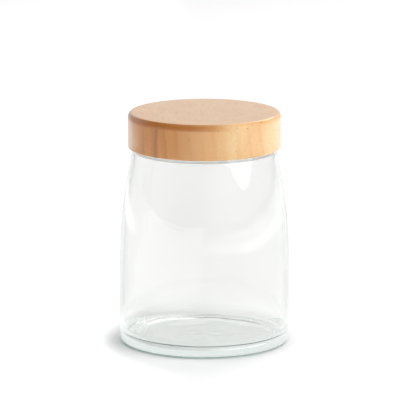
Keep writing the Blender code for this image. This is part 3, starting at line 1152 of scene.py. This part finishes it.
class CANISTER_OT_sealing_gasket(bpy.types.Operator):
    """Turn the flat silicone ring from its section with geometry nodes"""

    bl_idname = "canister.sealing_gasket"
    bl_label = "Sealing gasket"

    BOTTOM = 0.1406
    TOP = 0.1422
    EDGE = 0.0003

    def execute(self, context):
        settings = context.scene.gasket_settings
        inner, outer = settings.inner_radius, settings.outer_radius
        middle = 0.5 * (inner + outer)
        corners = [
            (middle, self.TOP),
            (outer, self.TOP, self.EDGE, 3),
            (outer, self.BOTTOM, self.EDGE, 3),
            (middle + 0.0007, self.BOTTOM),
            (middle + 0.0004, self.BOTTOM + 0.0002),
            (middle - 0.0004, self.BOTTOM + 0.0002),
            (middle - 0.0007, self.BOTTOM),
            (inner, self.BOTTOM, self.EDGE, 3),
            (inner, self.TOP, self.EDGE, 3),
            (middle, self.TOP),
        ]
        section = rounded_path(corners)[:-1]
        material = soft_silicone(settings)
        data = turned_by_sweep("sealing_gasket_ring", section, settings.columns, middle, material)
        put_in_scene("sealing_gasket_ring", data, material, "seal",
                     "sealing_gasket")
        return {"FINISHED"}


class CANISTER_OT_stage(bpy.types.Operator):
    """Set out the floor, the lights and the camera"""

    bl_idname = "canister.stage"
    bl_label = "Studio"

    FLOOR_RADIUS = 9.0
    SENSOR_WIDTH = 36.0               # millimetres, as is the lens
    LENS = 284.454
    PITCH = math.radians(11.93)
    SIDE_SHIFT = -0.01125             # share of the sensor's width

    def area_light(self, name, place, aim, size, power, colour=(1.0, 1.0, 1.0), shape="DISK",
                   height=None):
        """Add an area light that looks from place to aim."""
        lamp = bpy.data.lights.new(name, "AREA")
        lamp.shape = shape
        lamp.size = size
        if height is not None:
            lamp.size_y = height
        lamp.energy = power
        lamp.color = colour
        light = bpy.data.objects.new(name, lamp)
        light.location = place
        light.rotation_euler = (Vector(aim) - Vector(place)).to_track_quat("-Z", "Y").to_euler()
        bpy.context.scene.collection.objects.link(light)
        return light

    def surroundings(self):
        """Light the room softly: bright behind the object, dimmer in front of it."""
        world = bpy.data.worlds.new("studio_room")
        bpy.context.scene.world = world
        world.use_nodes = True
        tree = world.node_tree
        tree.nodes.clear()
        output = add_node(tree, "ShaderNodeOutputWorld")
        light = add_node(tree, "ShaderNodeBackground")
        way = add_node(tree, "ShaderNodeTexCoord").outputs["Generated"]
        _, y, z = parts_of(tree, way)
        behind = ramp(tree, y, 0.0, 0.45)
        low = fade(tree, z, 0.40, 0.80)
        horizon = ramp(tree, z, 0.10, 0.50, to_low=0.90, to_high=0.0)
        aside = leaning(tree, way, (-0.8, -0.6, 0.0))
        shade = ramp(tree, aside, 0.0, 0.9, to_low=1.0, to_high=0.35)
        screen = maths(tree, "MAXIMUM", product(tree, behind, low),
                       product(tree, horizon, shade))
        bright = product(tree, screen, 0.93)
        facing = leaning(tree, way, (0.35, -0.80, 0.48))
        front = ramp(tree, facing, 0.55, 0.95, to_high=0.25)
        above = ramp(tree, z, 0.78, 0.95, to_high=1.10)
        fill = total(tree, bright, total(tree, front, above))
        tree.links.new(total(tree, fill, 0.05), light.inputs["Strength"])
        tree.links.new(light.outputs["Background"], output.inputs["Surface"])
        lay_out(tree)

    def execute(self, context):
        settings = context.scene.studio_settings
        scene = context.scene
        floor_mesh = bmesh.new()
        bmesh.ops.create_circle(floor_mesh, cap_ends=True, segments=96, radius=self.FLOOR_RADIUS)
        data = bpy.data.meshes.new("studio_floor")
        floor_mesh.to_mesh(data)
        floor_mesh.free()
        paper = studio_paper(settings.floor_colour, settings.floor_glow)
        lay_out(paper.node_tree)
        data.materials.append(paper)
        floor = bpy.data.objects.new("studio_floor", data)
        floor.location.z = -0.0001
        scene.collection.objects.link(floor)
        self.surroundings()
        aim = (0.0, 0.0, 0.08)
        key_side, key_rise, key_away = math.radians(63.0), math.radians(36.5), 1.7
        key_place = (key_away * math.cos(key_rise) * math.sin(key_side),
                     -key_away * math.cos(key_rise) * math.cos(key_side),
                     aim[2] + key_away * math.sin(key_rise))
        self.area_light("key_light", key_place, aim, 2.0, settings.key_power)
        self.area_light("back_light", (0.7, 1.3, 1.5), aim, 1.4, settings.back_power)
        camera_data = bpy.data.cameras.new("studio_camera")
        camera_data.sensor_width = self.SENSOR_WIDTH
        camera_data.lens = self.LENS
        camera_data.shift_x = self.SIDE_SHIFT
        camera = bpy.data.objects.new("studio_camera", camera_data)
        camera.location = (0.0, -settings.camera_distance, settings.camera_height)
        camera.rotation_euler = (math.pi / 2.0 - self.PITCH, 0.0, 0.0)
        scene.collection.objects.link(camera)
        scene.camera = camera
        scene.view_settings.view_transform = "Standard"
        return {"FINISHED"}


class CANISTER_PT_panel(bpy.types.Panel):
    """Lists the canister's pieces and the studio"""

    bl_label = "Canister"
    bl_idname = "CANISTER_PT_panel"
    bl_space_type = "VIEW_3D"
    bl_region_type = "UI"
    bl_category = "Canister"

    def draw(self, context):
        for settings_name, operator in PIECES:
            box = self.layout.box()
            box.operator(operator)
            settings = getattr(context.scene, settings_name)
            for key in settings.bl_rna.properties.keys():
                if key not in ("rna_type", "name"):
                    box.prop(settings, key)


SETTINGS = {
    "glass_jar_settings": GlassJarSettings,
    "gasket_settings": GasketSettings,
    "insert_settings": InsertSettings,
    "beech_cap_settings": BeechCapSettings,
    "studio_settings": StudioSettings,
}
PIECES = (
    ("glass_jar_settings", "canister.glass_jar"),
    ("gasket_settings", "canister.sealing_gasket"),
    ("insert_settings", "canister.threaded_insert"),
    ("beech_cap_settings", "canister.beech_cap"),
    ("studio_settings", "canister.stage"),
)
CLASSES = (
    *SETTINGS.values(),
    CANISTER_OT_glass_jar,
    CANISTER_OT_sealing_gasket,
    CANISTER_OT_threaded_insert,
    CANISTER_OT_beech_cap,
    CANISTER_OT_stage,
    CANISTER_PT_panel,
)


def register():
    for item in CLASSES:
        bpy.utils.register_class(item)
    for name, group in SETTINGS.items():
        setattr(bpy.types.Scene, name, PointerProperty(type=group))


def unregister():
    for name in SETTINGS:
        delattr(bpy.types.Scene, name)
    for item in reversed(CLASSES):
        bpy.utils.unregister_class(item)


def main():
    register()
    for _, operator in PIECES:
        family, action = operator.split(".")
        outcome = getattr(getattr(bpy.ops, family), action)()
        if "FINISHED" not in outcome:
            raise RuntimeError(f"{operator} did not finish")


if __name__ == "__main__":
    main()
